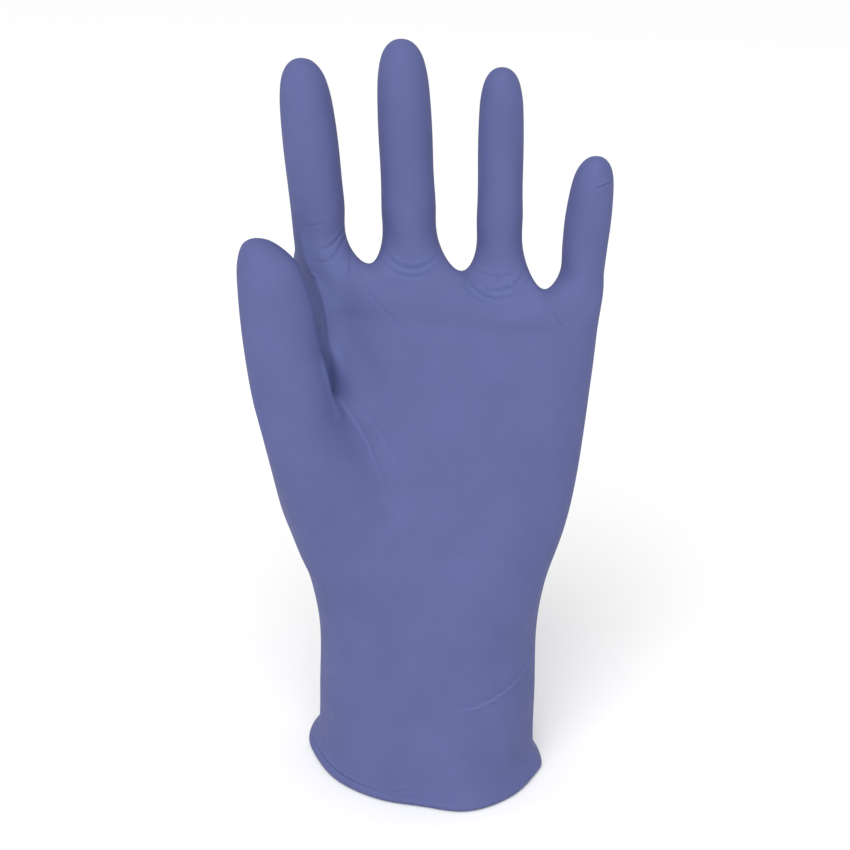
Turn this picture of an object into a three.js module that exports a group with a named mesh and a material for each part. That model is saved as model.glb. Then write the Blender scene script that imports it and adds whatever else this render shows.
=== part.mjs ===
// Nitrile exam glove, in the form of the hand that wears it.
// The fingers point up, the palm faces the front (-Y) and the thumb is at the left (-X).
// The origin is the centre of the cuff's opening. The glove is one dipped film, so it is one solid.
import * as THREE from "three";

// Named sizes, in millimetres
const cuffLength = 56; // from the rim up to the wrist
const palmLength = 112; // from the wrist up to the web beside the middle finger
const palmWidth = 93;
const palmDepth = 29;
const wristWidth = 71;
const wristDepth = 53;
const rimWidth = 77;
const rimDepth = 68;
const indexLength = 65;
const indexWidth = 17;
const middleLength = 72;
const middleWidth = 16.5;
const ringLength = 67;
const ringWidth = 14;
const littleLength = 42.5;
const littleWidth = 14.4;
const thumbLength = 55.4;
const thumbWidth = 23.6;
const wall = 1;
const beadWidth = 2.2; // of the rolled rim

const filmColour = 0x6b72a3;

const beadHeight = 1.15 * beadWidth; // where the smooth surface starts, above the rolled rim

// Sections of the cuff. up: share of cuffLength. flare: 0 at the wrist's size, 1 at the rim's.
// frontFlare: the same for the front, which slopes out evenly down to the rim.
// shift: share of wristWidth to the right. back: share of wristDepth that the centre stands back.
// turn: share of wristDepth by which the right side is forward of the centre and the left side back.
const cuffSections = [
  { up: beadHeight / cuffLength, flare: 0.95, frontFlare: 0.97, shift: -0.003, back: 0, turn: 0.145 },
  { up: 0.105, flare: 0.38, frontFlare: 0.9, shift: -0.002, back: 0.006, turn: 0.125 },
  { up: 0.18, flare: 0.05, frontFlare: 0.83, shift: 0.002, back: 0.012, turn: 0.115 },
  { up: 0.55, flare: 0, frontFlare: 0.45, shift: 0.01, back: 0.035, turn: 0.067 },
  { up: 0.84, flare: 0, frontFlare: 0.15, shift: 0.014, back: 0.055, turn: 0.02 },
];
// How far the rim's front stands out, from its left to its right. 1 is half its depth.
const rimFront = [0.25, 0.58, 0.82, 0.94, 0.96, 0.97, 0.79, 0.48, 0.13];

// Sections of the palm, from the wrist to the knuckles. up: share of palmLength above the cuff.
// left, right: where the sides are, shares of palmWidth. leftDeep, rightDeep: how far back the sides
// are, shares of palmDepth. fall: share of palmLength by which the right side stands lower.
const palmSides = [
  { up: 0.05, left: -0.389, leftDeep: 0.1, right: 0.412, rightDeep: 0.1, fall: 0 },
  { up: 0.14, left: -0.412, leftDeep: 0.02, right: 0.441, rightDeep: 0.15, fall: 0 },
  { up: 0.25, left: -0.459, leftDeep: -0.08, right: 0.488, rightDeep: 0.22, fall: 0 },
  { up: 0.43, left: -0.496, leftDeep: 0.0, right: 0.53, rightDeep: 0.32, fall: 0 },
  { up: 0.655, left: -0.4, leftDeep: 0.36, right: 0.56, rightDeep: 0.4, fall: 0.01 },
  { up: 0.75, left: -0.4, leftDeep: 0.46, right: 0.571, rightDeep: 0.45, fall: 0.03 },
  { up: 0.84, left: -0.41, leftDeep: 0.5, right: 0.579, rightDeep: 0.5, fall: 0.055 },
  { up: 0.91, left: -0.418, leftDeep: 0.52, right: 0.586, rightDeep: 0.52, fall: 0.07 },
];

// The same sections' faces. front, back: how far back the middle of each is, shares of palmDepth.
// square: 2 is an ellipse, more is squarer. spread: 0 has the back's lines evenly turned, and 1 has
// them under the fingers.
const palmFaces = [
  { front: -0.74, back: 0.98, square: 2.0, spread: 0.1 },
  { front: -0.66, back: 0.96, square: 2.1, spread: 0.3 },
  { front: -0.54, back: 0.95, square: 2.2, spread: 0.5 },
  { front: -0.36, back: 0.95, square: 2.4, spread: 0.7 },
  { front: -0.13, back: 0.97, square: 2.6, spread: 0.9 },
  { front: -0.05, back: 0.98, square: 2.7, spread: 1.0 },
  { front: 0.025, back: 0.98, square: 2.7, spread: 1.0 },
  { front: 0.08, back: 0.97, square: 2.8, spread: 1.0 },
];

// The lines that run up the front of the palm to the fingers and the gaps between them. Each row has
// a line's place on every section, from -1 at its left to 1 at its right. edge is the taut edge
// beside the thumb.
const frontLines = {
  edge: [-0.95, -0.93, -0.88, -0.8, -0.77, -0.8, -0.82, -0.83],
  index: [-0.8, -0.74, -0.57, -0.32, -0.58, -0.62, -0.68, -0.7],
  indexGap: [-0.57, -0.47, -0.32, -0.13, -0.38, -0.44, -0.5, -0.53],
  middle: [-0.28, -0.2, -0.08, 0.04, -0.16, -0.2, -0.24, -0.25],
  middleGap: [0.02, 0.07, 0.15, 0.21, 0.07, 0.05, 0.05, 0.05],
  ring: [0.32, 0.34, 0.38, 0.4, 0.31, 0.31, 0.32, 0.33],
  ringGap: [0.6, 0.6, 0.61, 0.6, 0.56, 0.57, 0.59, 0.6],
  little: [0.81, 0.81, 0.81, 0.79, 0.78, 0.79, 0.8, 0.8],
  heel: [0.95, 0.95, 0.94, 0.94, 0.94, 0.94, 0.94, 0.95],
};
// How far the edge line is drawn out to the front of each section, 0 where the section is plain
const tautEdge = [0, 0, 0, 0.1, 0.6, 0.9, 0.95, 0.95];
// How much lower the back of every section stands, clear of the fingers' feet: shares of palmLength
const backFalls = [0, 0, 0, 0, 0, 0.02, 0.045, 0.06];
// The same lines on the back, where they are under the fingers
const backLines = [-0.94, -0.78, -0.5, -0.25, 0.04, 0.31, 0.59, 0.81, 0.94];

// Mounds on the palm. across, wide: shares of palmWidth. up, tall: shares of palmLength.
// out: share of palmDepth by which the mound stands out.
const mounds = [
  { name: "thumb's ball", across: -0.34, up: 0.28, wide: 0.22, tall: 0.22, out: 0.12 },
  { name: "little finger's side", across: 0.36, up: 0.35, wide: 0.2, tall: 0.32, out: 0.12 },
  { name: "hollow", across: 0.06, up: 0.5, wide: 0.16, tall: 0.22, out: -0.06 },
];

// The top of the palm: the index finger's outer side, the three webs and the little finger's outer
// side. across: share of palmWidth, and edge the same for the point below it on the front.
// up: share of palmLength. front, top, back: shares of palmDepth. dip, backDip: shares of palmLength by
// which the points in front and behind are lower.
const webs = [
  { across: -0.428, up: 0.985, edge: -0.36, front: 0.2, top: 0.55, back: 0.8, dip: 0, backDip: 0 },
  { across: -0.186, up: 1.026, edge: -0.187, front: 0.14, top: 0.38, back: 0.84, dip: 0.035, backDip: 0.1 },
  { across: 0.112, up: 1.006, edge: 0.112, front: 0.14, top: 0.38, back: 0.86, dip: 0.035, backDip: 0.1 },
  { across: 0.388, up: 0.953, edge: 0.388, front: 0.14, top: 0.38, back: 0.85, dip: 0.035, backDip: 0.1 },
  { across: 0.598, up: 0.93, edge: 0.588, front: 0.34, top: 0.54, back: 0.76, dip: 0, backDip: 0 },
];
// Between two webs the foot of a finger stands out and is lower, in shares of palmDepth and palmLength
const footFront = { out: 0.02, dip: 0.045 };
const footBack = { out: 0.08, dip: 0.07 };

// Fingers from the index to the little finger. foot: share of palmLength. across, tip: where the foot
// and the tip are, shares of palmWidth. deep, tipDeep: how far back they are, shares of palmDepth.
// widest: how much wider its lowest section is.
const fingers = [
  {
    size: { length: indexLength, width: indexWidth },
    place: { foot: 1.01, across: -0.34, tip: -0.4, deep: 0.56, tipDeep: 0.6, widest: 1 },
  },
  {
    size: { length: middleLength, width: middleWidth },
    place: { foot: 1, across: -0.046, tip: -0.077, deep: 0.57, tipDeep: 0.6, widest: 1.13 },
  },
  {
    size: { length: ringLength, width: ringWidth },
    place: { foot: 0.967, across: 0.249, tip: 0.249, deep: 0.57, tipDeep: 0.6, widest: 1.14 },
  },
  {
    size: { length: littleLength, width: littleWidth },
    place: { foot: 0.938, across: 0.521, tip: 0.563, deep: 0.55, tipDeep: 0.58, widest: 1.02 },
  },
];
const fingerBow = 0.06; // share of palmDepth by which the middle of a finger stands back
const baseReach = 0.3; // share of a finger's shaft over which its wider base narrows

// Sections of a finger's shaft. along: share of the way up to its rounded tip.
// wide, thick: shares of the finger's width.
const shaft = [
  { along: 0.12, wide: 0.99, thick: 1.05 },
  { along: 0.3, wide: 0.98, thick: 1.0 },
  { along: 0.52, wide: 0.99, thick: 0.98 },
  { along: 0.76, wide: 1.0, thick: 0.96 },
  { along: 1.0, wide: 0.96, thick: 0.91 },
];
// Sections of the rounded tip. below: how far under the tip. Both are shares of the finger's width.
const tip = [
  { below: 0.62, wide: 0.89 },
  { below: 0.32, wide: 0.75 },
  { below: 0.09, wide: 0.46 },
];
const tipThick = 0.95; // share of the tip's width

// Sections of the thumb. up: share of thumbLength above its web. across: share of palmWidth.
// deep: share of palmDepth. wide, thick: shares of thumbWidth.
// tilt: share of thumbWidth by which its front stands lower than its middle.
const thumbWeb = 0.65; // share of palmLength
const thumbSpin = -25; // degrees that the sections are turned, so that their front faces the palm's left
const thumbSections = [
  { up: -0.07, across: -0.405, deep: -0.33, wide: 1.09, thick: 0.92, tilt: 0.4 },
  { up: 0.13, across: -0.438, deep: -0.3, wide: 1.06, thick: 0.9, tilt: 0.2 },
  { up: 0.345, across: -0.465, deep: -0.25, wide: 1.0, thick: 0.88, tilt: 0.08 },
  { up: 0.553, across: -0.482, deep: -0.2, wide: 0.97, thick: 0.85, tilt: 0.0 },
  { up: 0.73, across: -0.497, deep: -0.16, wide: 0.9, thick: 0.8, tilt: 0.0 },
  { up: 0.875, across: -0.516, deep: -0.13, wide: 0.74, thick: 0.68, tilt: 0.0 },
  { up: 0.97, across: -0.538, deep: -0.12, wide: 0.42, thick: 0.38, tilt: 0.0 },
];
const thumbTip = { up: 1.0, across: -0.546, deep: -0.11 };
const thumbRow = cuffSections.length + 2; // the section where the thumb's foot starts
const thumbColumns = 2; // faces that the foot takes on each of its two rows

// Profile of the rolled rim, from the outer face round to the inner one, in shares of beadWidth
const bead = [
  { out: 0.34, up: 0.95 },
  { out: 0.5, up: 0.55 },
  { out: 0.34, up: 0.14 },
  { out: 0.0, up: 0.0 },
  { out: -0.34, up: 0.14 },
  { out: -0.48, up: 0.6 },
];

const facePoints = 9; // points on the front of a section of the body, and as many on its back
const ringPoints = 8; // points of a section of a finger
const fitRounds = 12;

const mix = (a, b, share) => a + (b - a) * share;
const bell = (distance, reach) => Math.exp(-((distance / reach) ** 2));

// The cage: points on the surface and the four-sided faces between them
const points = [];
const quads = [];

function addPoint(x, y, z) {
  points.push(new THREE.Vector3(x, y, z));
  return points.length - 1;
}

// Faces from one loop of points up to the next, in the same order
function joinLoops(lower, upper, skip = () => false) {
  lower.forEach((point, i) => {
    const next = (i + 1) % lower.length;
    if (!skip(i)) quads.push([point, lower[next], upper[next], upper[i]]);
  });
}

// A tip: the last ring is closed by four faces round one point
function closeTip(ring, top) {
  for (let i = 0; i < ringPoints; i += 2) {
    quads.push([ring[i], ring[i + 1], ring[(i + 2) % ringPoints], top]);
  }
}

// How far a section stands out at a place from -1 to 1 across it
function bulge(place, square) {
  return (1 - Math.abs(place) ** square) ** (1 / square);
}

// Places of the lines on a round section, from left to right, evenly turned
function roundPlaces() {
  return Array.from({ length: facePoints }, (_, i) => -Math.cos(((i + 1) * Math.PI) / (facePoints + 1)));
}

// One loop of the body: the left side, the points of the front, the right side, the points of the back.
// frontShares: how far each point of the front stands out, 1 where the front is furthest.
function bodyLoop(section, frontPlaces, frontShares, backPlaces) {
  const { left, leftDeep, right, rightDeep, front, back, square, z, fall, backFall } = section;
  const middle = (leftDeep + rightDeep) / 2;
  const place = (share, depth, drop = 0) => {
    const across = (share + 1) / 2;
    const y = mix(leftDeep, rightDeep, across) + depth;
    return addPoint(mix(left, right, across), y, z - fall * across - drop);
  };
  const backPlace = (share) => {
    const out = bulge(share, square);
    return place(share, (back - middle) * out, backFall * out);
  };
  return [
    place(-1, 0),
    ...frontPlaces.map((share, k) => place(share, (front - middle) * frontShares[k])),
    place(1, 0),
    ...[...backPlaces].reverse().map(backPlace),
  ];
}

function cuffLoop({ up, flare, frontFlare, shift, back, turn }) {
  const halfWidth = mix(wristWidth, rimWidth, flare) / 2;
  const x = shift * wristWidth;
  const y = back * wristDepth;
  const section = {
    left: x - halfWidth,
    leftDeep: y + turn * wristDepth,
    right: x + halfWidth,
    rightDeep: y - turn * wristDepth,
    front: y - mix(wristDepth, rimDepth, frontFlare) / 2,
    back: y + mix(wristDepth, rimDepth, flare) / 2,
    square: 2,
    z: up * cuffLength,
    fall: 0,
    backFall: 0,
  };
  const round = roundPlaces();
  const frontShares = rimFront.map((rim, k) => mix(bulge(round[k], section.square), rim, frontFlare));
  return bodyLoop(section, round, frontShares, round);
}

function palmLoop(side, i) {
  const { front, back, square, spread } = palmFaces[i];
  const section = {
    left: side.left * palmWidth,
    leftDeep: side.leftDeep * palmDepth,
    right: side.right * palmWidth,
    rightDeep: side.rightDeep * palmDepth,
    front: front * palmDepth,
    back: back * palmDepth,
    square,
    z: cuffLength + side.up * palmLength,
    fall: side.fall * palmLength,
    backFall: backFalls[i] * palmLength,
  };
  const round = roundPlaces();
  const frontPlaces = Object.values(frontLines).map((line) => line[i]);
  const backPlaces = backLines.map((place, k) => mix(round[k], place, spread));
  const [edgeShare, ...otherShares] = frontPlaces.map((place) => bulge(place, square));
  const frontShares = [mix(edgeShare, 1, tautEdge[i]), ...otherShares];
  return bodyLoop(section, frontPlaces, frontShares, backPlaces);
}

// Pushes the front of the palm out or in at its mounds
function raiseMounds(loops) {
  loops.forEach((loop) => {
    loop.slice(1, 1 + facePoints).forEach((index) => {
      const point = points[index];
      const across = point.x / palmWidth;
      const up = (point.z - cuffLength) / palmLength;
      mounds.forEach((mound) => {
        const share = bell(across - mound.across, mound.wide) * bell(up - mound.up, mound.tall);
        point.y -= mound.out * palmDepth * share;
      });
    });
  });
}

// The top loop of the body, and the points on top of the webs
function webLoop() {
  const height = (web) => cuffLength + web.up * palmLength;
  const corner = (web, across, deep, dip) =>
    addPoint(across * palmWidth, deep * palmDepth, height(web) - dip * palmLength);
  const front = [];
  const back = [];
  const tops = webs.map((web) => addPoint(web.across * palmWidth, web.top * palmDepth, height(web)));
  webs.forEach((web, i) => {
    front.push(corner(web, web.edge, web.front, web.dip));
    back.push(corner(web, web.across, web.back, web.backDip));
    if (i === webs.length - 1) return;
    const next = webs[i + 1];
    const lower = web.up < next.up ? web : next;
    const frontDeep = mix(web.front, next.front, 0.5) - footFront.out;
    const backDeep = mix(web.back, next.back, 0.5) + footBack.out;
    front.push(corner(lower, mix(web.edge, next.edge, 0.5), frontDeep, footFront.dip));
    back.push(corner(lower, mix(web.across, next.across, 0.5), backDeep, footBack.dip));
  });
  const loop = [tops[0], ...front, tops[4], ...back.reverse()];
  return { loop, tops };
}

// The eight points of the body round the foot of a finger, from the left side by the front to the back
function fingerFoot({ loop, tops }, i) {
  const front = 1 + 2 * i;
  const back = loop.length - 3 - 2 * i;
  return [
    tops[i],
    loop[front],
    loop[front + 1],
    loop[front + 2],
    tops[i + 1],
    loop[back],
    loop[back + 1],
    loop[back + 2],
  ];
}

// A ring of a finger, from the left side by the front to the back
function ring({ x, y, z, halfWidth, halfDepth, rise = 0, spin = 0 }) {
  return Array.from({ length: ringPoints }, (_, i) => {
    const angle = THREE.MathUtils.degToRad(180 + spin + (i * 360) / ringPoints);
    const depth = Math.sin(angle);
    return addPoint(x + halfWidth * Math.cos(angle), y + halfDepth * depth, z + rise * depth);
  });
}

function addFinger({ size, place }, foot) {
  const footHeight = cuffLength + place.foot * palmLength;
  const straight = size.length - size.width; // the rounded tip is as long as the finger is wide
  const centre = (height) => {
    const share = height / size.length;
    const bow = fingerBow * Math.sin(Math.PI * share);
    return {
      x: mix(place.across, place.tip, share) * palmWidth,
      y: (mix(place.deep, place.tipDeep, share) + bow) * palmDepth,
      z: footHeight + height,
    };
  };
  const rings = shaft.map(({ along, wide, thick }) => {
    const narrowed = Math.min((along - shaft[0].along) / baseReach, 1);
    const halfWidth = (mix(place.widest, 1, narrowed) * wide * size.width) / 2;
    return ring({ ...centre(along * straight), halfWidth, halfDepth: (thick * size.width) / 2 });
  });
  tip.forEach(({ below, wide }) => {
    const halfWidth = (wide * size.width) / 2;
    const middle = centre(size.length - below * size.width);
    rings.push(ring({ ...middle, halfWidth, halfDepth: halfWidth * tipThick }));
  });
  const loops = [foot, ...rings];
  loops.slice(1).forEach((upper, i) => joinLoops(loops[i], upper));
  const end = centre(size.length);
  closeTip(rings[rings.length - 1], addPoint(end.x, end.y, end.z));
}

function addThumb(loops) {
  const [low, middle, high] = loops.slice(thumbRow, thumbRow + 3);
  const foot = [middle[0], low[0], low[1], low[2], middle[2], high[2], high[1], high[0]];
  const webHeight = cuffLength + thumbWeb * palmLength;
  const centre = ({ up, across, deep }) =>
    [across * palmWidth, deep * palmDepth, webHeight + up * thumbLength];
  const rings = thumbSections.map((section) => {
    const [x, y, z] = centre(section);
    return ring({
      x,
      y,
      z,
      halfWidth: (section.wide * thumbWidth) / 2,
      halfDepth: (section.thick * thumbWidth) / 2,
      rise: section.tilt * thumbWidth,
      spin: thumbSpin,
    });
  });
  const all = [foot, ...rings];
  all.slice(1).forEach((upper, i) => joinLoops(all[i], upper));
  closeTip(rings[rings.length - 1], addPoint(...centre(thumbTip)));
}

function buildCage() {
  const loops = cuffSections.map(cuffLoop);
  const palmLoops = palmSides.map(palmLoop);
  raiseMounds(palmLoops);
  loops.push(...palmLoops);
  const top = webLoop();
  loops.push(top.loop);
  loops.slice(1).forEach((upper, i) => {
    const beside = i === thumbRow || i === thumbRow + 1;
    joinLoops(loops[i], upper, (column) => beside && column < thumbColumns);
  });
  fingers.forEach((finger, i) => addFinger(finger, fingerFoot(top, i)));
  addThumb(loops);
  return { points, quads };
}

// Points that no face uses are dropped
function compact(mesh) {
  const used = [...new Set(mesh.quads.flat())].sort((a, b) => a - b);
  const place = new Map(used.map((old, i) => [old, i]));
  return {
    points: used.map((i) => mesh.points[i]),
    quads: mesh.quads.map((quad) => quad.map((i) => place.get(i))),
  };
}

// Edges of a mesh of quads, each with its ends and the faces beside it
function edgesOf({ points: all, quads: faces }) {
  const edges = new Map();
  faces.forEach((quad, face) => {
    quad.forEach((a, i) => {
      const b = quad[(i + 1) % 4];
      const key = Math.min(a, b) * all.length + Math.max(a, b);
      if (!edges.has(key)) edges.set(key, { a, b, faces: [] });
      edges.get(key).faces.push(face);
    });
  });
  return edges;
}

const middleOf = (list) =>
  list.reduce((sum, point) => sum.add(point), new THREE.Vector3()).divideScalar(list.length);

// One step of Catmull-Clark smoothing, which makes four faces of each
function subdivide(mesh) {
  const { points: old, quads: faces } = mesh;
  const edges = edgesOf(mesh);
  const centres = faces.map((quad) => middleOf(quad.map((i) => old[i])));
  const near = old.map(() => ({ centres: [], middles: [], rim: [] }));
  faces.forEach((quad, face) => quad.forEach((i) => near[i].centres.push(centres[face])));
  const edgePoints = [];
  const edgeIndex = new Map();
  for (const [key, { a, b, faces: beside }] of edges) {
    const half = middleOf([old[a], old[b]]);
    const inner = beside.length === 2;
    edgeIndex.set(key, old.length + edgePoints.length);
    edgePoints.push(inner ? middleOf([old[a], old[b], ...beside.map((face) => centres[face])]) : half);
    [a, b].forEach((i) => {
      near[i].middles.push(half);
      if (!inner) near[i].rim.push(half);
    });
  }
  const moved = old.map((point, i) => {
    const { centres: round, middles, rim } = near[i];
    if (rim.length) return point.clone().multiplyScalar(2).add(rim[0]).add(rim[1]).divideScalar(4);
    const count = middles.length;
    return middleOf(round)
      .add(middleOf(middles).multiplyScalar(2))
      .addScaledVector(point, count - 3)
      .divideScalar(count);
  });
  const faceStart = old.length + edgePoints.length;
  const edgeOf = (a, b) => edgeIndex.get(Math.min(a, b) * old.length + Math.max(a, b));
  const smaller = faces.flatMap((quad, face) =>
    quad.map((corner, i) => {
      const next = quad[(i + 1) % 4];
      const before = quad[(i + 3) % 4];
      return [corner, edgeOf(corner, next), faceStart + face, edgeOf(before, corner)];
    }),
  );
  return { points: [...moved, ...edgePoints, ...centres], quads: smaller };
}

// Where each point ends up when the smoothing is repeated for ever
function limitPoints(mesh) {
  const { points: all, quads: faces } = mesh;
  const near = all.map(() => ({ ends: new THREE.Vector3(), across: new THREE.Vector3(), count: 0, rim: [] }));
  for (const { a, b, faces: beside } of edgesOf(mesh).values()) {
    near[a].ends.add(all[b]);
    near[b].ends.add(all[a]);
    near[a].count += 1;
    near[b].count += 1;
    if (beside.length === 2) continue;
    near[a].rim.push(all[b]);
    near[b].rim.push(all[a]);
  }
  faces.forEach((quad) => quad.forEach((i, k) => near[i].across.add(all[quad[(k + 2) % 4]])));
  return all.map((point, i) => {
    const { ends, across, count, rim } = near[i];
    if (rim.length) return point.clone().multiplyScalar(4).add(rim[0]).add(rim[1]).divideScalar(6);
    return point
      .clone()
      .multiplyScalar(count * count)
      .addScaledVector(ends, 4)
      .add(across)
      .divideScalar(count * (count + 5));
  });
}

// Moves the cage's points so that the smooth surface passes through the places that the tables give
function fitCage(mesh) {
  const wanted = mesh.points;
  const fitted = { points: wanted.map((point) => point.clone()), quads: mesh.quads };
  for (let round = 0; round < fitRounds; round += 1) {
    const reached = limitPoints(fitted);
    fitted.points.forEach((point, i) => point.add(wanted[i]).sub(reached[i]));
  }
  return fitted;
}

function normalsOf({ points: all, quads: faces }) {
  const normals = all.map(() => new THREE.Vector3());
  faces.forEach(([a, b, c, d]) => {
    const normal = all[c].clone().sub(all[a]).cross(all[d].clone().sub(all[b]));
    [a, b, c, d].forEach((i) => normals[i].add(normal));
  });
  return normals.map((normal) => normal.normalize());
}

// The open edge of the mesh as one loop, in the order that the faces below it need
function rimLoop(mesh) {
  const after = new Map();
  for (const { a, b, faces: beside } of edgesOf(mesh).values()) {
    if (beside.length === 1) after.set(a, b);
  }
  const loop = [after.keys().next().value];
  while (loop.length < after.size) loop.push(after.get(loop[loop.length - 1]));
  return loop;
}

// The film: the outer surface, the inner one a wall's thickness inside it, and the rolled rim between
function shell(mesh) {
  const outer = mesh.points;
  const normals = normalsOf(mesh);
  const inner = outer.map((point, i) => point.clone().addScaledVector(normals[i], -wall));
  const all = [...outer, ...inner];
  // Each face starts at an end of its shorter diagonal, so that both surfaces fold the same way
  const faces = mesh.quads.map(([a, b, c, d]) => {
    const shorter = outer[a].distanceTo(outer[c]) <= outer[b].distanceTo(outer[d]);
    return shorter ? [a, b, c, d] : [b, c, d, a];
  });
  faces.push(...faces.map(([a, b, c, d]) => [a, d, c, b].map((i) => i + outer.length)));
  const rim = rimLoop(mesh);
  const rows = bead.map(({ out, up }) =>
    rim.map((i) => {
      const outward = normals[i].clone().setZ(0).normalize();
      const point = outer[i].clone().addScaledVector(outward, out * beadWidth - wall / 2);
      all.push(point.setZ(up * beadWidth));
      return all.length - 1;
    }),
  );
  const bands = [rim, ...rows, rim.map((i) => i + outer.length)];
  bands.slice(1).forEach((lower, k) => {
    const upper = bands[k];
    lower.forEach((point, i) => {
      const next = (i + 1) % lower.length;
      faces.push([point, lower[next], upper[next], upper[i]]);
    });
  });
  return { points: all, quads: faces };
}

function geometryOf({ points: all, quads: faces }) {
  const geometry = new THREE.BufferGeometry();
  const numbers = all.flatMap((point) => point.toArray());
  geometry.setAttribute("position", new THREE.Float32BufferAttribute(numbers, 3));
  geometry.setIndex(faces.flatMap(([a, b, c, d]) => [a, b, c, a, c, d]));
  geometry.computeVertexNormals();
  return geometry;
}

function makeGlove() {
  const smooth = subdivide(fitCage(compact(buildCage())));
  const surface = { points: limitPoints(smooth), quads: smooth.quads };
  const film = new THREE.MeshStandardMaterial({ color: filmColour, roughness: 0.6, metalness: 0 });
  const mesh = new THREE.Mesh(geometryOf(shell(surface)), film);
  mesh.name = "glove";
  return mesh;
}

const glove = new THREE.Group();
glove.add(makeGlove());

export default glove;
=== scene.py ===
"""Nitrile exam glove in the form of a worn hand: one dipped film with a rolled rim.

Sizes in the tables are millimetres or shares of a named size, as in the part's source.
"""
import math

import bpy
import numpy as np
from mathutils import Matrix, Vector


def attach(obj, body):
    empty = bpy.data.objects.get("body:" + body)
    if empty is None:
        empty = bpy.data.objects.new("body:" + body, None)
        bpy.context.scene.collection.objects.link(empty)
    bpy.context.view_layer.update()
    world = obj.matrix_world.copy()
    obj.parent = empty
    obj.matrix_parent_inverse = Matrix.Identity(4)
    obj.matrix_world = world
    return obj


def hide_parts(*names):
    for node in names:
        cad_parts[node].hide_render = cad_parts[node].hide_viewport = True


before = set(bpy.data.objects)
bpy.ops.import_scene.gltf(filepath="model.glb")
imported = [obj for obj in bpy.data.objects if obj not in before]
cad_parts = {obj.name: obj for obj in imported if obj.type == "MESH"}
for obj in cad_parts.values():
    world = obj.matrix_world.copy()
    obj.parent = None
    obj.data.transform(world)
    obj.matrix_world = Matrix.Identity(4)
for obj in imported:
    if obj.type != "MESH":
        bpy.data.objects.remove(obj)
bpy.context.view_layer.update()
MM = 0.001

# Named sizes
CUFF_LENGTH = 56.0
PALM_LENGTH = 112.0
PALM_WIDTH = 93.0
PALM_DEPTH = 29.0
WRIST_WIDTH = 71.0
WRIST_DEPTH = 53.0
RIM_WIDTH = 77.0
RIM_DEPTH = 68.0
THUMB_LENGTH = 55.4
THUMB_WIDTH = 23.6
WALL = 1.0
BEAD_WIDTH = 2.2
BEAD_HEIGHT = 1.15 * BEAD_WIDTH

# Sections of the cuff: up, flare, front_flare, shift, back, turn
CUFF = [
    (BEAD_HEIGHT / CUFF_LENGTH, 0.95, 0.97, -0.003, 0.0, 0.145),
    (0.105, 0.38, 0.9, -0.002, 0.006, 0.125),
    (0.18, 0.05, 0.83, 0.002, 0.012, 0.115),
    (0.365, 0.015, 0.65, 0.006, 0.024, 0.091),
    (0.55, 0.0, 0.45, 0.01, 0.035, 0.067),
    (0.84, 0.0, 0.15, 0.014, 0.055, 0.02),
]
# How far the rim's front stands out at each of its lines, where 1 is half its depth
RIM_FRONT = [0.26, 0.59, 0.82, 0.94, 0.96, 0.97, 0.79, 0.5, 0.18]
# Sections of the palm: up, left, left_deep, right, right_deep, fall, front, back, square, spread
PALM = [
    (0.05, -0.389, 0.1, 0.412, 0.1, 0.0, -0.74, 0.98, 2.0, 0.1),
    (0.14, -0.412, 0.02, 0.441, 0.15, 0.0, -0.66, 0.96, 2.1, 0.3),
    (0.25, -0.459, -0.08, 0.488, 0.22, 0.0, -0.54, 0.95, 2.2, 0.5),
    (0.43, -0.496, 0.0, 0.53, 0.32, 0.0, -0.36, 0.95, 2.4, 0.7),
    (0.655, -0.4, 0.36, 0.56, 0.4, 0.01, -0.13, 0.97, 2.6, 0.9),
    (0.75, -0.4, 0.46, 0.571, 0.45, 0.03, -0.05, 0.98, 2.7, 1.0),
    (0.84, -0.41, 0.5, 0.579, 0.5, 0.055, 0.025, 0.98, 2.7, 1.0),
    (0.91, -0.418, 0.52, 0.586, 0.52, 0.07, 0.08, 0.97, 2.8, 1.0),
]
# Lines that run up the front of the palm, each with its place on every section
FRONT_LINES = [
    [-0.95, -0.93, -0.88, -0.8, -0.77, -0.8, -0.82, -0.83],
    [-0.8, -0.74, -0.57, -0.32, -0.58, -0.62, -0.68, -0.7],
    [-0.57, -0.47, -0.32, -0.13, -0.38, -0.44, -0.5, -0.53],
    [-0.28, -0.2, -0.08, 0.04, -0.16, -0.2, -0.24, -0.25],
    [0.02, 0.07, 0.15, 0.21, 0.07, 0.05, 0.05, 0.05],
    [0.32, 0.34, 0.38, 0.4, 0.31, 0.31, 0.32, 0.33],
    [0.6, 0.6, 0.61, 0.6, 0.56, 0.57, 0.59, 0.6],
    [0.81, 0.81, 0.81, 0.79, 0.78, 0.79, 0.8, 0.8],
    [0.95, 0.95, 0.94, 0.94, 0.94, 0.94, 0.94, 0.95],
]
# How far the taut edge beside the thumb is drawn out to the front, on every section
TAUT_EDGE = [0.0, 0.0, 0.0, 0.1, 0.6, 0.9, 0.95, 0.95]
# Lines that run up the back of the palm
BACK_LINES = [-0.94, -0.78, -0.5, -0.25, 0.04, 0.31, 0.59, 0.81, 0.94]
# How much lower the back of every section stands, clear of the fingers' feet
BACK_FALL = [0.0, 0.0, 0.0, 0.0, 0.0, 0.02, 0.045, 0.06]
# Mounds of the palm: across, up, wide, tall, out
MOUNDS = [
    (-0.34, 0.28, 0.22, 0.22, 0.12),
    (0.36, 0.35, 0.2, 0.32, 0.12),
    (0.06, 0.5, 0.16, 0.22, -0.01),
]
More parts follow.
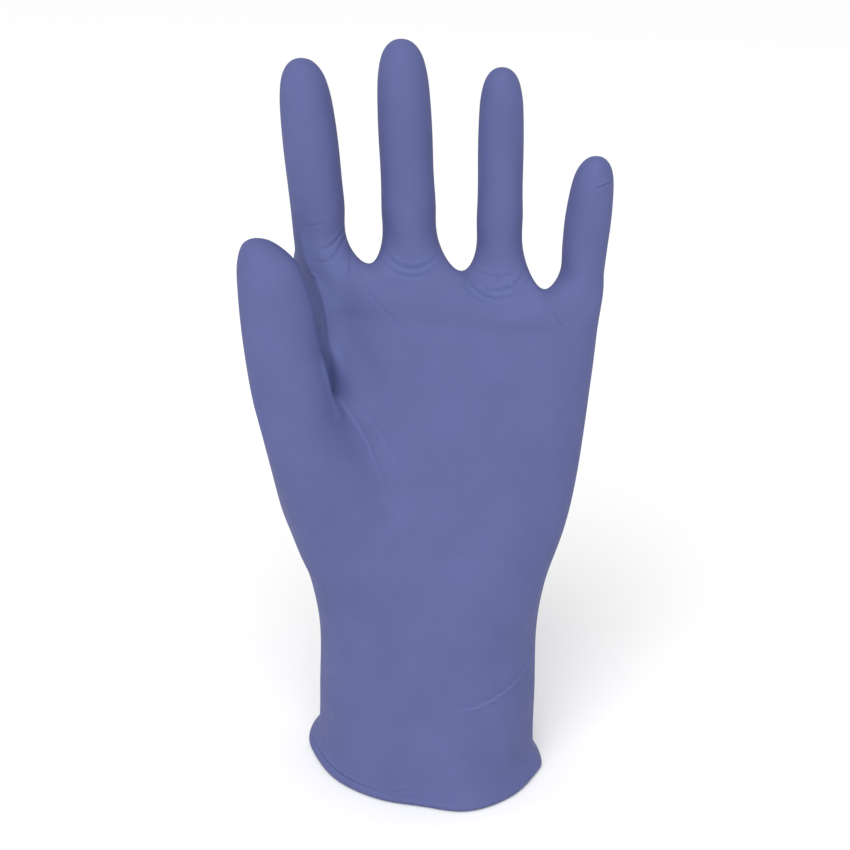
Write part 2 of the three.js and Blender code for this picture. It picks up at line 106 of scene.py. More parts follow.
# Top of the palm: across, up, edge, front, top, back, dip, back_dip
WEBS = [
    (-0.428, 0.985, -0.36, 0.2, 0.55, 0.8, 0.0, 0.0),
    (-0.186, 1.026, -0.187, 0.14, 0.38, 0.84, 0.035, 0.1),
    (0.112, 1.006, 0.112, 0.14, 0.38, 0.86, 0.035, 0.1),
    (0.388, 0.953, 0.388, 0.14, 0.38, 0.85, 0.035, 0.1),
    (0.598, 0.93, 0.588, 0.34, 0.54, 0.76, 0.0, 0.0),
]
# Middle of a finger's foot, at its front and its back: out, down
FOOT_FRONT = (0.02, 0.045)
FOOT_BACK = (0.08, 0.07)
# Fingers: length, width, base, foot, across, tip, deep, tip_deep
FINGERS = [
    (65.0, 17.0, 1.0, 1.01, -0.34, -0.4, 0.56, 0.6),
    (72.0, 16.5, 1.13, 1.0, -0.046, -0.077, 0.57, 0.6),
    (67.0, 14.0, 1.14, 0.967, 0.249, 0.249, 0.57, 0.6),
    (42.5, 14.4, 1.02, 0.938, 0.521, 0.563, 0.55, 0.58),
]
# How far a finger's middle stands behind the straight line of its ends
FINGER_BOW = 0.06
# Sections of a finger's shaft: along, wide, thick
SHAFT = [(0.12, 0.99, 1.05), (0.3, 0.98, 1.0), (0.52, 0.99, 0.98), (0.76, 1.0, 0.96), (1.0, 0.96, 0.91)]
# Sections of a rounded tip: below, wide
TIP = [(0.62, 0.89), (0.32, 0.75), (0.09, 0.46)]
# Depth of a tip's sections as a share of their width
TIP_THICK = 0.95
# Share of the shaft over which a finger's wider base narrows
BASE_REACH = 0.3
# Height of the thumb's web as a share of the palm's, and the turn of the thumb's sections in degrees
THUMB_WEB = 0.65
THUMB_SPIN = -25.0
# Sections of the thumb: up, across, deep, wide, thick, tilt
THUMB = [
    (-0.07, -0.405, -0.33, 1.09, 0.92, 0.4),
    (0.13, -0.438, -0.3, 1.06, 0.9, 0.2),
    (0.345, -0.465, -0.25, 1.0, 0.88, 0.08),
    (0.553, -0.482, -0.2, 0.97, 0.85, 0.0),
    (0.73, -0.497, -0.16, 0.9, 0.8, 0.0),
    (0.875, -0.516, -0.13, 0.74, 0.68, 0.0),
    (0.97, -0.538, -0.12, 0.42, 0.38, 0.0),
]
# Tip of the thumb: up, across, deep
THUMB_TIP = (1.0, -0.546, -0.11)
# The lowest of the three sections of the body that the thumb's foot joins
THUMB_ROW = len(CUFF) + 2
# Profile of the rolled rim: out, up, from the outer face round to the inner one
BEAD = [
    (0.27, 1.05),
    (0.36, 0.95),
    (0.48, 0.8),
    (0.54, 0.6),
    (0.52, 0.38),
    (0.42, 0.18),
    (0.25, 0.05),
    (0.0, 0.0),
    (-0.25, 0.05),
    (-0.4, 0.2),
    (-0.47, 0.42),
    (-0.42, 0.7),
    (-0.3, 0.95),
]
# Points across the front or the back of the body, and round a finger or the thumb
FACE_POINTS = 9
RING_POINTS = 8
# Squareness of a plain oval
OVAL = 2
# How often the cage is corrected, so that its smooth form runs through the wanted points
FIT_ROUNDS = 12
# How many smoothing steps leave each piece of the taut edge sharp, from the thumb's web up
EDGE_STEPS = [0, 3, 3, 3, 2, 1]

# The cage, as in the part's source, with one more section in the cuff

places = []
quads = []


def mix(a, b, share):
    return a + (b - a) * share


def add_point(x, y, z):
    places.append((x, y, z))
    return len(places) - 1


def join_loops(lower, upper, skipped=()):
    count = len(lower)
    for i in range(count):
        if i not in skipped:
            after = (i + 1) % count
            quads.append((lower[i], lower[after], upper[after], upper[i]))


def close_tip(ring, top):
    for i in range(0, RING_POINTS, 2):
        quads.append((ring[i], ring[i + 1], ring[(i + 2) % RING_POINTS], top))


def bulge(place, square):
    return (1 - abs(place) ** square) ** (1 / square)


def round_places():
    return [-math.cos((i + 1) * math.pi / (FACE_POINTS + 1)) for i in range(FACE_POINTS)]


def body_loop(sides, depths, square, height, falls, front_places, back_places, front_shares=None):
    left, left_deep, right, right_deep = sides
    front, back = depths
    fall, back_fall = falls
    middle = (left_deep + right_deep) / 2

    def place(share, depth, drop=0.0):
        across = (share + 1) / 2
        y = mix(left_deep, right_deep, across) + depth
        return add_point(mix(left, right, across), y, height - fall * across - drop)

    def back_place(share):
        out = bulge(share, square)
        return place(share, (back - middle) * out, back_fall * out)

    shares = front_shares or [bulge(share, square) for share in front_places]
    loop = [place(-1, 0)]
    loop += [place(share, (front - middle) * out) for share, out in zip(front_places, shares)]
    loop.append(place(1, 0))
    loop += [back_place(share) for share in reversed(back_places)]
    return loop


def cuff_loop(up, flare, front_flare, shift, back, turn):
    half_width = mix(WRIST_WIDTH, RIM_WIDTH, flare) / 2
    near, far = (mix(WRIST_DEPTH, RIM_DEPTH, share) / 2 for share in (front_flare, flare))
    x, y = shift * WRIST_WIDTH, back * WRIST_DEPTH
    lean = turn * WRIST_DEPTH
    sides = (x - half_width, y + lean, x + half_width, y - lean)
    even = round_places()
    shares = [mix(bulge(place, OVAL), rim, front_flare) for place, rim in zip(even, RIM_FRONT)]
    return body_loop(sides, (y - near, y + far), OVAL, up * CUFF_LENGTH, (0, 0), even, even, shares)


def palm_loop(i):
    up, left, left_deep, right, right_deep, fall, front, back, square, spread = PALM[i]
    sides = (left * PALM_WIDTH, left_deep * PALM_DEPTH, right * PALM_WIDTH, right_deep * PALM_DEPTH)
    front_places = [line[i] for line in FRONT_LINES]
    back_places = [mix(even, place, spread) for even, place in zip(round_places(), BACK_LINES)]
    height = CUFF_LENGTH + up * PALM_LENGTH
    depths = (front * PALM_DEPTH, back * PALM_DEPTH)
    shares = [bulge(place, square) for place in front_places]
    shares[0] = mix(shares[0], 1, TAUT_EDGE[i])
    falls = (fall * PALM_LENGTH, BACK_FALL[i] * PALM_LENGTH)
    return body_loop(sides, depths, square, height, falls, front_places, back_places, shares)


def raise_mounds(loops):
    for loop in loops:
        for index in loop[1 : 1 + FACE_POINTS]:
            x, y, z = places[index]
            for across, up, wide, tall, out in MOUNDS:
                side = (x / PALM_WIDTH - across) / wide
                height = ((z - CUFF_LENGTH) / PALM_LENGTH - up) / tall
                y -= out * PALM_DEPTH * math.exp(-side * side - height * height)
            places[index] = (x, y, z)


def web_loop():
    def corner(up, across, deep, dip):
        return add_point(across * PALM_WIDTH, deep * PALM_DEPTH, CUFF_LENGTH + (up - dip) * PALM_LENGTH)

    tops = [corner(web[1], web[0], web[4], 0) for web in WEBS]
    front, back = [], []
    for web, following in zip(WEBS, WEBS[1:] + [None]):
        across, up, edge, near, _, far, dip, back_dip = web
        front.append(corner(up, edge, near, dip))
        back.append(corner(up, across, far, back_dip))
        if following is None:
            continue
        lower = min(up, following[1])
        near = mix(near, following[3], 0.5) - FOOT_FRONT[0]
        far = mix(far, following[5], 0.5) + FOOT_BACK[0]
        front.append(corner(lower, mix(edge, following[2], 0.5), near, FOOT_FRONT[1]))
        back.append(corner(lower, mix(across, following[0], 0.5), far, FOOT_BACK[1]))
    return [tops[0]] + front + [tops[-1]] + back[::-1], tops


def ring(x, y, z, half_width, half_depth, rise=0.0, spin=0.0):
    points = []
    for i in range(RING_POINTS):
        angle = math.radians(180 + spin + i * 360 / RING_POINTS)
        depth = math.sin(angle)
        points.append(add_point(x + half_width * math.cos(angle), y + half_depth * depth, z + rise * depth))
    return points


def add_finger(row, foot):
    length, width, widest, foot_up, across, tip, deep, tip_deep = row
    base = CUFF_LENGTH + foot_up * PALM_LENGTH

    def centre(height):
        share = height / length
        bow = FINGER_BOW * math.sin(math.pi * share)
        y = (mix(deep, tip_deep, share) + bow) * PALM_DEPTH
        return mix(across, tip, share) * PALM_WIDTH, y, base + height

    loops = [foot]
    for along, wide, thick in SHAFT:
        flare = mix(widest, 1, min((along - SHAFT[0][0]) / BASE_REACH, 1))
        loops.append(ring(*centre(along * (length - width)), flare * wide * width / 2, thick * width / 2))
    for below, wide in TIP:
        loops.append(ring(*centre(length - below * width), wide * width / 2, wide * width / 2 * TIP_THICK))
    for lower, upper in zip(loops, loops[1:]):
        join_loops(lower, upper)
    close_tip(loops[-1], add_point(*centre(length)))
    return loops


def add_thumb(loops):
    low, middle, high = loops[THUMB_ROW : THUMB_ROW + 3]
    foot = [middle[0], low[0], low[1], low[2], middle[2], high[2], high[1], high[0]]
    web = CUFF_LENGTH + THUMB_WEB * PALM_LENGTH
    rings = [foot]
    for up, across, deep, wide, thick, tilt in THUMB:
        half_width, half_depth = wide * THUMB_WIDTH / 2, thick * THUMB_WIDTH / 2
        x, y, z = across * PALM_WIDTH, deep * PALM_DEPTH, web + up * THUMB_LENGTH
        rings.append(ring(x, y, z, half_width, half_depth, tilt * THUMB_WIDTH, THUMB_SPIN))
    for lower, upper in zip(rings, rings[1:]):
        join_loops(lower, upper)
    up, across, deep = THUMB_TIP
    close_tip(rings[-1], add_point(across * PALM_WIDTH, deep * PALM_DEPTH, web + up * THUMB_LENGTH))


def build_cage():
    """The body's quads come first. Returns points, quads, the body's count and the taut edge's lines."""
    loops = [cuff_loop(*row) for row in CUFF]
    palm = [palm_loop(i) for i in range(len(PALM))]
    raise_mounds(palm)
    loops += palm
    top, tops = web_loop()
    loops.append(top)
    for i, (lower, upper) in enumerate(zip(loops, loops[1:])):
        join_loops(lower, upper, (0, 1) if i in (THUMB_ROW, THUMB_ROW + 1) else ())
    body = len(quads)
    edge = [loop[1] for loop in loops[THUMB_ROW + 2 :]]
    for i, row in enumerate(FINGERS):
        front, back = 1 + 2 * i, len(top) - 3 - 2 * i
        rings = add_finger(row, [tops[i], *top[front : front + 3], tops[i + 1], *top[back : back + 3]])
        if i == 0:
            edge += [rings[1][1], rings[2][1]]
    add_thumb(loops)
    used, faces = np.unique(np.array(quads), return_inverse=True)
    edge = np.searchsorted(used, edge)
    sharp = np.stack([edge[:-1], edge[1:], EDGE_STEPS], axis=1)
    return np.array(places)[used], faces.reshape(-1, 4), body, sharp


# Smoothing

def edges_of(faces):
    """Ends of each edge, the edge after each corner of each face, and how many faces share it"""
    ends = np.sort(np.stack([faces, np.roll(faces, -1, axis=1)], axis=-1).reshape(-1, 2), axis=1)
    edges, which, count = np.unique(ends, axis=0, return_inverse=True, return_counts=True)
    return edges, which.reshape(faces.shape), count


def gather(size, index, values):
    """Sum of the values that each index gets"""
    total = np.zeros((size, values.shape[-1]))
    np.add.at(total, index, values)
    return total


def kept_edges(edges, count, sharp, size):
    """Which edges keep their own line: the open rim's and the sharp ones"""
    keys = edges[:, 0] * size + edges[:, 1]
    low_first = np.sort(sharp[sharp[:, 2] > 0, :2], axis=1)
    kept = count == 1
    kept[np.searchsorted(keys, low_first[:, 0] * size + low_first[:, 1])] = True
    return kept


def on_line(edges, kept, size):
    """Points that a kept line runs through, and the ends of every kept edge"""
    ends = edges[kept]
    number = np.bincount(ends.ravel(), minlength=size)
    return np.flatnonzero(number == 2), ends


def subdivide(points, faces, sharp):
    """One step of Catmull-Clark smoothing.

    Old points keep their numbers, and face i becomes faces 4i to 4i + 3.
    """
    edges, which, count = edges_of(faces)
    size = len(points)
    kept = kept_edges(edges, count, sharp, size)
    centres = points[faces].mean(axis=1)
    halves = points[edges].mean(axis=1)
    beside = gather(len(edges), which.ravel(), np.repeat(centres, 4, axis=0))
    on_edges = np.where(kept[:, None], halves, (halves * 2 + beside) / 4)
    ones = np.ones((faces.size, 1))
    around = gather(size, faces.ravel(), np.repeat(centres, 4, axis=0)) / gather(size, faces.ravel(), ones)
    valence = gather(size, edges.ravel(), np.ones((edges.size, 1)))
    spokes = gather(size, edges.ravel(), np.repeat(halves, 2, axis=0)) / valence
    moved = (around + 2 * spokes + (valence - 3) * points) / valence
    lined, line_edges = on_line(edges, kept, size)
    line_sum = gather(size, line_edges.ravel(), np.repeat(halves[kept], 2, axis=0))
    moved[lined] = (2 * points[lined] + line_sum[lined]) / 4
    edge_points = size + which
    face_points = np.repeat(size + len(edges) + np.arange(len(faces))[:, None], 4, axis=1)
    smaller = np.stack([faces, edge_points, face_points, np.roll(edge_points, 1, axis=1)], axis=-1)
    low_first = np.sort(sharp[:, :2], axis=1)
    keys = edges[:, 0] * size + edges[:, 1]
    half = size + np.searchsorted(keys, low_first[:, 0] * size + low_first[:, 1])
    steps = sharp[:, 2] - 1
    halved = [np.stack([sharp[:, 0], half, steps], axis=1), np.stack([half, sharp[:, 1], steps], axis=1)]
    shorter = np.concatenate(halved)
    return np.concatenate([moved, on_edges, centres]), smaller.reshape(-1, 4), shorter


def limit_of(points, faces, sharp):
    """Where each point ends up when the smoothing is repeated for ever"""
    edges, _, count = edges_of(faces)
    size = len(points)
    kept = kept_edges(edges, count, sharp, size)
    ends = gather(size, edges.ravel(), points[edges[:, ::-1].ravel()])
    valence = gather(size, edges.ravel(), np.ones((edges.size, 1)))
    across = gather(size, faces.ravel(), points[np.roll(faces, 2, axis=1).ravel()])
    limit = (valence**2 * points + 4 * ends + across) / (valence * (valence + 5))
    lined, line_edges = on_line(edges, kept, size)
    line_ends = gather(size, line_edges.ravel(), points[line_edges[:, ::-1].ravel()])
    limit[lined] = (4 * points[lined] + line_ends[lined]) / 6
    return limit


def fit_cage(wanted, faces, sharp):
    points = wanted.copy()
    for _ in range(FIT_ROUNDS):
        points += wanted - limit_of(points, faces, sharp)
    return points


def normals_of(points, faces):
    corner = points[faces]
    normal = np.cross(corner[:, 2] - corner[:, 0], corner[:, 3] - corner[:, 1])
    total = gather(len(points), faces.ravel(), np.repeat(normal, 4, axis=0))
    return total / np.linalg.norm(total, axis=1, keepdims=True)


def part_split(faces, smaller, chosen):
    """Faces with only the chosen ones split. The others take in the new points on the edges they share."""
    _, which, _ = edges_of(faces)
    first_new = faces.max() + 1
    split_edges = np.zeros(which.max() + 1, bool)
    split_edges[which[chosen].ravel()] = True
    polygons = smaller[np.repeat(chosen, 4)].tolist()
    for face, edges in zip(faces[~chosen].tolist(), which[~chosen].tolist()):
        polygon = []
        for point, edge in zip(face, edges):
            polygon.append(point)
            if split_edges[edge]:
                polygon.append(first_new + edge)
        polygons.append(polygon)
    return polygons


# Folds of the film. Each runs through three places, given as (x, z) in mm on the palm's side.
# deep: millimetres that it is pressed in, or out where negative. wide: millimetres across it.
# Columns: start, middle, end, deep, wide
FOLDS = [
    ((-37.5, 183.8), (-33.5, 184.2), (-30.0, 185.4), 0.18, 0.4),
    ((-23.8, 184.6), (-27.0, 179.0), (-32.6, 176.9), 0.3, 0.42),
    ((-24.2, 181.2), (-28.0, 174.6), (-34.0, 173.4), 0.2, 0.5),
    ((-23.4, 175.4), (-23.3, 171.0), (-24.5, 166.2), 0.2, 0.4),
    ((-12.8, 175.2), (-4.3, 171.4), (4.8, 174.8), 0.32, 0.55),
    ((-12.4, 172.6), (-3.9, 169.0), (4.8, 172.4), 0.24, 0.5),
    ((14.4, 170.3), (21.0, 168.0), (28.8, 168.9), 0.2, 0.4),
    ((17.4, 164.6), (25.4, 164.6), (31.2, 169.4), 0.28, 0.5),
    ((12.5, 168.8), (19.6, 162.4), (28.4, 163.0), 0.28, 0.5),
    ((12.0, 169.0), (14.0, 163.6), (21.0, 160.4), 0.2, 0.4),
    ((-19.8, 168.8), (-12.6, 159.3), (-1.4, 148.2), 0.16, 0.45),
    ((38.5, 158.7), (41.4, 154.4), (44.7, 150.4), 0.12, 0.45),
    ((51.2, 194.8), (54.8, 195.9), (57.8, 196.6), 0.25, 0.4),
    ((-37.0, 168.3), (-34.9, 168.0), (-33.2, 167.2), 0.2, 0.4),
    ((-27.4, 131.8), (-18.6, 119.7), (-12.8, 103.4), -0.18, 0.45),
    ((-23.0, 130.0), (-14.0, 120.2), (-7.0, 106.3), -0.13, 0.45),
    ((9.0, 33.0), (24.6, 35.3), (36.4, 41.4), -0.34, 0.6),
    ((-12.6, 3.4), (-7.8, 4.6), (-2.9, 5.8), 0.12, 0.45),
    ((-42.0, 3.4), (-29.0, 3.2), (-14.0, 3.0), 0.3, 0.4),
]
# Places along a fold from which the film's points are measured
FOLD_STEPS = 61
# No fold lies higher than this
FOLDS_TOP = 199.0
# How far a fold reaches to each side, in its widths
FOLD_REACH = 5
# A fold runs out towards its two ends
FOLD_END = 0.02
FOLD_TAPER = 0.7
# The soft lip at each side of a fold: its place in widths, and its height as a share of the fold's
LIP_PLACE = 1.8
LIP_HEIGHT = 0.45
# A fold fades where the film turns away from the palm's side
FACING_START = 0.3
FACING_SLOPE = 3
# The thumb takes no fold. It is what lies further out than the first value and higher than the second.
THUMB_OUT = -5
THUMB_LOW = 140


def fold_height(points, normals):
    """How far the folds move each point out of the film"""
    height = np.zeros(len(points))
    facing = np.clip(FACING_START - FACING_SLOPE * normals[:, 1], 0, 1)
    facing[(points[:, 1] < THUMB_OUT) & (points[:, 2] > THUMB_LOW)] = 0
    flat = points[:, [0, 2]]
    for start, middle, end, deep, wide in FOLDS:
        corners = np.array([start, middle, end])
        low, high = corners.min(axis=0) - FOLD_REACH * wide, corners.max(axis=0) + FOLD_REACH * wide
        chosen = np.flatnonzero(((flat > low) & (flat < high)).all(axis=1) & (facing > 0))
        best = np.full(len(chosen), np.inf)
        along = np.zeros(len(chosen))
        for share in np.linspace(0, 1, FOLD_STEPS):
            weights = ((1 - share) * (1 - 2 * share), 4 * share * (1 - share), share * (2 * share - 1))
            gap = np.linalg.norm(flat[chosen] - weights @ corners, axis=1)
            closer = gap < best
            best[closer] = gap[closer]
            along[closer] = share
        taper = np.sin(np.pi * np.clip(along, FOLD_END, 1 - FOLD_END)) ** FOLD_TAPER
        groove = np.exp(-((best / wide) ** 2))
        lips = np.exp(-(((best - LIP_PLACE * wide) / wide) ** 2))
        height[chosen] -= deep * taper * (groove - LIP_HEIGHT * lips) * facing[chosen]
    return height


# Spots where the film is evened out: the end of the thumb's web and the fingers' feet
# Columns: middle (x, y, z) and reach in millimetres, rounds
SOFT_SPOTS = [
    ((-25.0, -4.5, 129.0), 9.0, 250),
    ((-24.0, 15.0, 178.0), 6.0, 150),
    ((-12.5, 15.0, 177.0), 5.0, 150),
    ((4.0, 15.0, 178.0), 6.0, 150),
    ((16.0, 15.0, 173.5), 5.0, 150),
    ((30.0, 15.0, 175.0), 6.0, 150),
    ((42.0, 15.0, 168.5), 5.0, 150),
    ((55.0, 16.0, 163.0), 8.0, 60),
]
# Weight below which a point is left out of a spot
LEAST_WEIGHT = 0.01


def soften(points, faces, middle, reach, rounds):
    """Draws the points near one place to the mean of their neighbours, round by round"""
    edges, _, _ = edges_of(faces)
    weight = np.exp(-((points - middle) ** 2).sum(axis=1) / reach**2)
    near = np.flatnonzero(weight > LEAST_WEIGHT)
    number = np.full(len(points), -1)
    number[near] = np.arange(len(near))
    ends = number[edges]
    ends = ends[(ends >= 0).all(axis=1)]
    valence = gather(len(near), ends.ravel(), np.ones((ends.size, 1)))
    spot = points[near]
    for _ in range(rounds):
        around = gather(len(near), ends.ravel(), spot[ends[:, ::-1].ravel()]) / valence
        spot = spot + (around - spot) * weight[near][:, None]
    moved = points.copy()
    moved[near] = spot
    return moved


# Painted shade and light on the film, from 0 for the deepest painted shade to 1 for the palest painted
# light
PLAIN_TONE = 0.5
# Painted shade in a fold's groove, per millimetre of its depth. What stands out gets a painted highlight of
# half as much.
FOLD_SHADE_HIGHLIGHT = 0.9
# Boxes of painted light, which lifts the shade in the gap beside the thumb and on the thumb's own side,
# with rows for x, y and z
# Columns, in millimetres: where it starts, is full, starts to fade and ends
THUMB_GAP_PAINTED_BOX = [(-44, -42, -27, -23), (-13, -8, 14, 18), (125, 131, 176, 184)]
THUMB_SIDE_PAINTED_BOX = [(-34, -32, -28, -25), (-13, -9, 10, 14), (124, 130, 144, 150)]
THUMB_SIDE_PAINTED_LIGHT = 0.3
# Painted light and shade on the wall in the gap, from its deep end up: painted light that lifts the shade
# at the deep end, and painted shade at the top. Then the heights over which each gives way to the next
WALL_PAINTED_LIGHT_SHADE = (0.8, 0.44, -0.1)
WALL_CHANGES = ((132, 146), (155, 174))
# Painted light on the edge by the gap, and more painted light where its top turns to the thumb, with the
# heights of that
EDGE_PAINTED_LIGHT = 0.07
EDGE_TOP_PAINTED_LIGHT = 0.12
EDGE_TOP = (166, 172)
# How far the film's normal points sideways where it counts as turned, from not at all to in full. This
# places the painted light and shade by the way the film faces
TURNED_EDGE = (0.2, 0.5)
TURNED_WALL = (0.6, 0.7)
TURNED_THUMB = (0.3, 0.6)


def rising(values, low, high):
    share = np.clip((values - low) / (high - low), 0, 1)
    return share * share * (3 - 2 * share)


def inside(points, box):
    """1 in the box and 0 outside it, with soft sides"""
    share = np.ones(len(points))
    for values, (start, full, fade, end) in zip(points.T, box):
        share *= rising(values, start, full) * rising(-values, -end, -fade)
    return share


def painted_shade_light(points, normals, folds):
    """Painted light beside the thumb lifts the shade in the gap, and painted shade lies at the top of the
    gap's wall. Painted shade lies in folds, and painted highlight on their lips.
    """
    height = points[:, 2]
    to_thumb = -normals[:, 0]
    deep_end, middle, top = WALL_PAINTED_LIGHT_SHADE
    wall = mix(deep_end, middle, rising(height, *WALL_CHANGES[0]))
    wall = mix(wall, top, rising(height, *WALL_CHANGES[1]))
    # Painted light on the taut edge by the gap, chosen by the way the film faces
    edge = EDGE_PAINTED_LIGHT + EDGE_TOP_PAINTED_LIGHT * rising(to_thumb, *TURNED_EDGE) * rising(height, *EDGE_TOP)
    paler = inside(points, THUMB_GAP_PAINTED_BOX) * mix(edge, wall, rising(to_thumb, *TURNED_WALL))
    # Painted light on the thumb's side of the gap, which lifts its shade
    paler += THUMB_SIDE_PAINTED_LIGHT * inside(points, THUMB_SIDE_PAINTED_BOX) * rising(-to_thumb, *TURNED_THUMB)
    # Plain tone, plus the painted light and shade by the thumb, plus painted shade in fold grooves and
    # painted highlight on fold lips
    return np.clip(PLAIN_TONE + paler / 2 + FOLD_SHADE_HIGHLIGHT * np.minimum(folds, folds / 2), 0, 1)


# The film

# Smoothing steps of the inner wall, of the outer one and of its finest parts
INNER_STEPS = 2
OUTER_STEPS = INNER_STEPS + 1
FINE_STEPS = OUTER_STEPS + 1
# The finest parts face the palm's side by at least this much
FINE_FACING = 0.05
# They are the body above the bead, and the fingers' feet below FOLDS_TOP and to the right of the thumb
BEAD_TOP = 3
FEET_LEFT = -42
# Below this height the inner wall is finer, because it shows in the open cuff
OPEN_CUFF = 40


def smooth_film():
    """Points of the smooth film, its faces after each step, and how many faces the cage's body has"""
    wanted, cage, body, sharp = build_cage()
    points, steps = fit_cage(wanted, cage, sharp), [cage]
    for _ in range(FINE_STEPS):
        points, faces, sharp = subdivide(points, steps[-1], sharp)
        steps.append(faces)
    return limit_of(points, steps[-1], sharp), steps, body


def outer_wall(points, normals, steps, body):
    faces = steps[OUTER_STEPS]
    on_body = np.arange(len(faces)) < body * 4**OUTER_STEPS
    centre = points[faces].mean(axis=1)
    facing = -normals[faces].mean(axis=1)[:, 1]
    palm = on_body & (centre[:, 2] > BEAD_TOP)
    finger_feet = (centre[:, 2] < FOLDS_TOP) & (centre[:, 0] > FEET_LEFT)
    return part_split(faces, steps[FINE_STEPS], (facing > FINE_FACING) & (palm | finger_feet))


def inner_wall(points, steps):
    faces = steps[INNER_STEPS]
    in_cuff = points[faces][:, :, 2].min(axis=1) < OPEN_CUFF
    return part_split(faces, steps[OUTER_STEPS], in_cuff)


def rim_loop(faces):
    """The open edge in the order that the faces below it need"""
    ends = np.stack([faces, np.roll(faces, -1, axis=1)], axis=-1).reshape(-1, 2)
    low_first = np.sort(ends, axis=1)
    _, first, count = np.unique(low_first, axis=0, return_index=True, return_counts=True)
    after = dict(ends[first[count == 1]].tolist())
    loop = [min(after)]
    while len(loop) < len(after):
        loop.append(after[loop[-1]])
    return np.array(loop)


def bead_rows(points, normals, rim):
    """The rolled bead's points, a row for each place of its profile"""
    outward = normals[rim] * (1, 1, 0)
    outward /= np.linalg.norm(outward, axis=1, keepdims=True)
    rows = []
    for out, up in BEAD:
        row = points[rim] + outward * (out * BEAD_WIDTH - WALL / 2)
        row[:, 2] = up * BEAD_WIDTH
        rows.append(row)
    return rows


def build_glove():
    """Points, polygons and the painted shade and light of the film: outer wall, inner wall and the bead
    that joins them
    """
    points, steps, body = smooth_film()
    finest = steps[FINE_STEPS]
    for spot in SOFT_SPOTS:
        points = soften(points, finest, *spot)
    normals = normals_of(points, finest)
    folds = fold_height(points, normals)
    points = points + normals * folds[:, None]
    normals = normals_of(points, finest)

    count = len(points)
    polygons = outer_wall(points, normals, steps, body)
    polygons += [[corner + count for corner in reversed(face)] for face in inner_wall(points, steps)]
    rim = rim_loop(steps[OUTER_STEPS])
    bead = bead_rows(points, normals, rim)
    rows = [rim]
    for i in range(len(bead)):
        rows.append(2 * count + i * len(rim) + np.arange(len(rim)))
    rows.append(rim + count)
    for upper, lower in zip(rows, rows[1:]):
        after_lower, after_upper = np.roll(lower, -1), np.roll(upper, -1)
        polygons += np.stack([lower, after_lower, after_upper, upper], axis=1).tolist()

    everything = np.concatenate([points, points - normals * WALL, *bead])
    used = np.unique(np.concatenate([np.array(face) for face in polygons]))
    number = np.zeros(len(everything), int)
    number[used] = np.arange(len(used))
    painted_tone = np.full(len(everything), PLAIN_TONE)
    # Painted shade and light on the outer wall only; the inner wall and the bead keep the plain tone
    painted_tone[:count] = painted_shade_light(points, normals, folds)
    return everything[used], [number[face].tolist() for face in polygons], painted_tone[used]


def make_object(name, points, polygons, material):
    mesh = bpy.data.meshes.new(name)
    mesh.from_pydata((points * MM).tolist(), [], polygons)
    mesh.validate()
    mesh.polygons.foreach_set("use_smooth", [True] * len(mesh.polygons))
    mesh.materials.append(material)
    obj = bpy.data.objects.new(name, mesh)
    bpy.context.scene.collection.objects.link(obj)
    return obj


# Materials

# Colours of the film: two for the patches of the plain film, then the painted shade and the painted light
# at the ends of its tone
FILM_PATCHES = [(0.092, 0.106, 0.254, 1), (0.100, 0.114, 0.270, 1)]
FILM_PAINTED_SHADE = (0.06, 0.078, 0.21, 1)
FILM_PAINTED_LIGHT = (0.195, 0.245, 0.56, 1)
# Noises of the film: scale, detail
PATCHES = (70, 4)
WAVES = (260, 3)
GRAIN = (1800, 2)
# What a noise is cut to, and the roughness that the waves give the film
PATCH_CUT = (0.35, 0.65)
WAVE_CUT = (0.3, 0.7)
ROUGHNESS = (0.58, 0.72)
SPECULAR = 0.15
# Bumps: strength, height in metres
WAVE_BUMP = (0.25, 0.0002)
GRAIN_BUMP = (0.3, 0.00004)
FLOOR_COLOUR = (0.93, 0.93, 0.93)
FLOOR_ROUGHNESS = 0.9


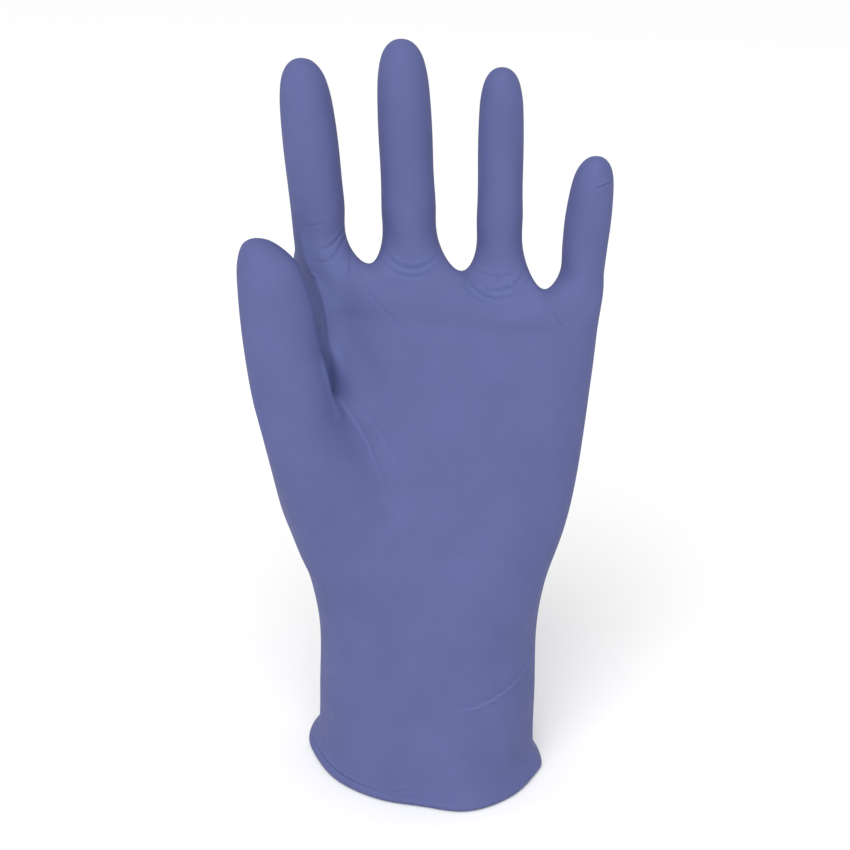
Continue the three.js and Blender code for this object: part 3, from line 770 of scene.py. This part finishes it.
def nitrile_material():
    """Matte film with soft patches where it is thicker, a fine grain, and the painted shade and light
    carried on the mesh
    """
    material = bpy.data.materials.new("nitrile_film")
    material.use_nodes = True
    nodes, links = material.node_tree.nodes, material.node_tree.links
    shader = nodes["Principled BSDF"]
    place = nodes.new("ShaderNodeTexCoord")

    def noise(scale, detail):
        node = nodes.new("ShaderNodeTexNoise")
        node.inputs["Scale"].default_value = scale
        node.inputs["Detail"].default_value = detail
        links.new(place.outputs["Object"], node.inputs["Vector"])
        return node.outputs["Fac"]

    def mixed(factor, first, second):
        node = nodes.new("ShaderNodeMix")
        node.data_type = "RGBA"
        links.new(factor, node.inputs["Factor"])
        for socket, colour in zip((node.inputs["A"], node.inputs["B"]), (first, second)):
            if isinstance(colour, tuple):
                socket.default_value = colour
            else:
                links.new(colour, socket)
        return node.outputs["Result"]

    def ranged(value, from_low, from_high, to_low, to_high):
        node = nodes.new("ShaderNodeMapRange")
        levels = {"From Min": from_low, "From Max": from_high, "To Min": to_low, "To Max": to_high}
        for name, level in levels.items():
            node.inputs[name].default_value = level
        links.new(value, node.inputs["Value"])
        return node.outputs["Result"]

    patches, waves, grain = noise(*PATCHES), noise(*WAVES), noise(*GRAIN)
    plain = mixed(ranged(patches, *PATCH_CUT, 0, 1), *FILM_PATCHES)
    painted_tone = nodes.new("ShaderNodeAttribute")
    painted_tone.attribute_name = "painted_shade_light"
    # Painted light above the plain tone and painted shade below it, mixed into the base colour
    paler = mixed(ranged(painted_tone.outputs["Fac"], PLAIN_TONE, 1, 0, 1), plain, FILM_PAINTED_LIGHT)
    colour = mixed(ranged(painted_tone.outputs["Fac"], PLAIN_TONE, 0, 0, 1), paler, FILM_PAINTED_SHADE)
    links.new(colour, shader.inputs["Base Color"])
    links.new(ranged(waves, *WAVE_CUT, *ROUGHNESS), shader.inputs["Roughness"])
    shader.inputs["Specular IOR Level"].default_value = SPECULAR
    below = None
    for height, (strength, distance) in ((waves, WAVE_BUMP), (grain, GRAIN_BUMP)):
        bump = nodes.new("ShaderNodeBump")
        bump.inputs["Strength"].default_value = strength
        bump.inputs["Distance"].default_value = distance
        links.new(height, bump.inputs["Height"])
        if below:
            links.new(below, bump.inputs["Normal"])
        below = bump.outputs["Normal"]
    links.new(below, shader.inputs["Normal"])
    return material


def floor_material():
    material = bpy.data.materials.new("floor")
    material.use_nodes = True
    shader = material.node_tree.nodes["Principled BSDF"]
    shader.inputs["Base Color"].default_value = (*FLOOR_COLOUR, 1)
    shader.inputs["Roughness"].default_value = FLOOR_ROUGHNESS
    return material


glove_points, glove_faces, glove_painted_shade_light = build_glove()
glove = make_object("glove_film", glove_points, glove_faces, nitrile_material())
# The mesh carries the painted shade and light that the material reads
painted_shade_light_layer = glove.data.attributes.new("painted_shade_light", "FLOAT", "POINT")
painted_shade_light_layer.data.foreach_set("value", glove_painted_shade_light.astype(np.float32))
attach(glove, "root")
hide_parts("glove")

# Floor, light and camera

# Half the floor's side in metres, and how far in millimetres it lies below the rim
FLOOR_HALF = 6.0
FLOOR_DROP = 0.2
# The light, from in front, above and a little to the left. Places are in metres.
KEY_PLACE = (-0.55, -2.5, 3.0)
KEY_TARGET = (0, 0, 0.12)
KEY_SIZE = 3.4
KEY_POWER = 104
WORLD_COLOUR = (1, 1, 1, 1)
WORLD_STRENGTH = 0.78
CAMERA_PLACE = (0.0, -0.6378, 0.4185)
# How far down the camera looks, in degrees
CAMERA_DOWN = 25
LENS = 95
SENSOR = 36

floor_points = np.array([(-1, -1, 0), (1, -1, 0), (1, 1, 0), (-1, 1, 0)]) * FLOOR_HALF / MM
floor = make_object("floor", floor_points - (0, 0, FLOOR_DROP), [(0, 1, 2, 3)], floor_material())

key_data = bpy.data.lights.new("key", "AREA")
key_data.shape = "DISK"
key_data.size = KEY_SIZE
key_data.energy = KEY_POWER
key = bpy.data.objects.new("key", key_data)
bpy.context.scene.collection.objects.link(key)
key.location = KEY_PLACE
key.rotation_euler = (key.location - Vector(KEY_TARGET)).to_track_quat("Z", "Y").to_euler()

world = bpy.data.worlds.new("studio")
bpy.context.scene.world = world
world.use_nodes = True
background = world.node_tree.nodes["Background"]
background.inputs["Color"].default_value = WORLD_COLOUR
background.inputs["Strength"].default_value = WORLD_STRENGTH

camera_data = bpy.data.cameras.new("camera")
camera_data.lens = LENS
camera_data.sensor_width = SENSOR
camera = bpy.data.objects.new("camera", camera_data)
bpy.context.scene.collection.objects.link(camera)
camera.location = CAMERA_PLACE
camera.rotation_euler = (math.radians(90 - CAMERA_DOWN), 0, 0)
bpy.context.scene.camera = camera
bpy.context.scene.view_settings.view_transform = "Standard"

bpy.context.view_layer.update()
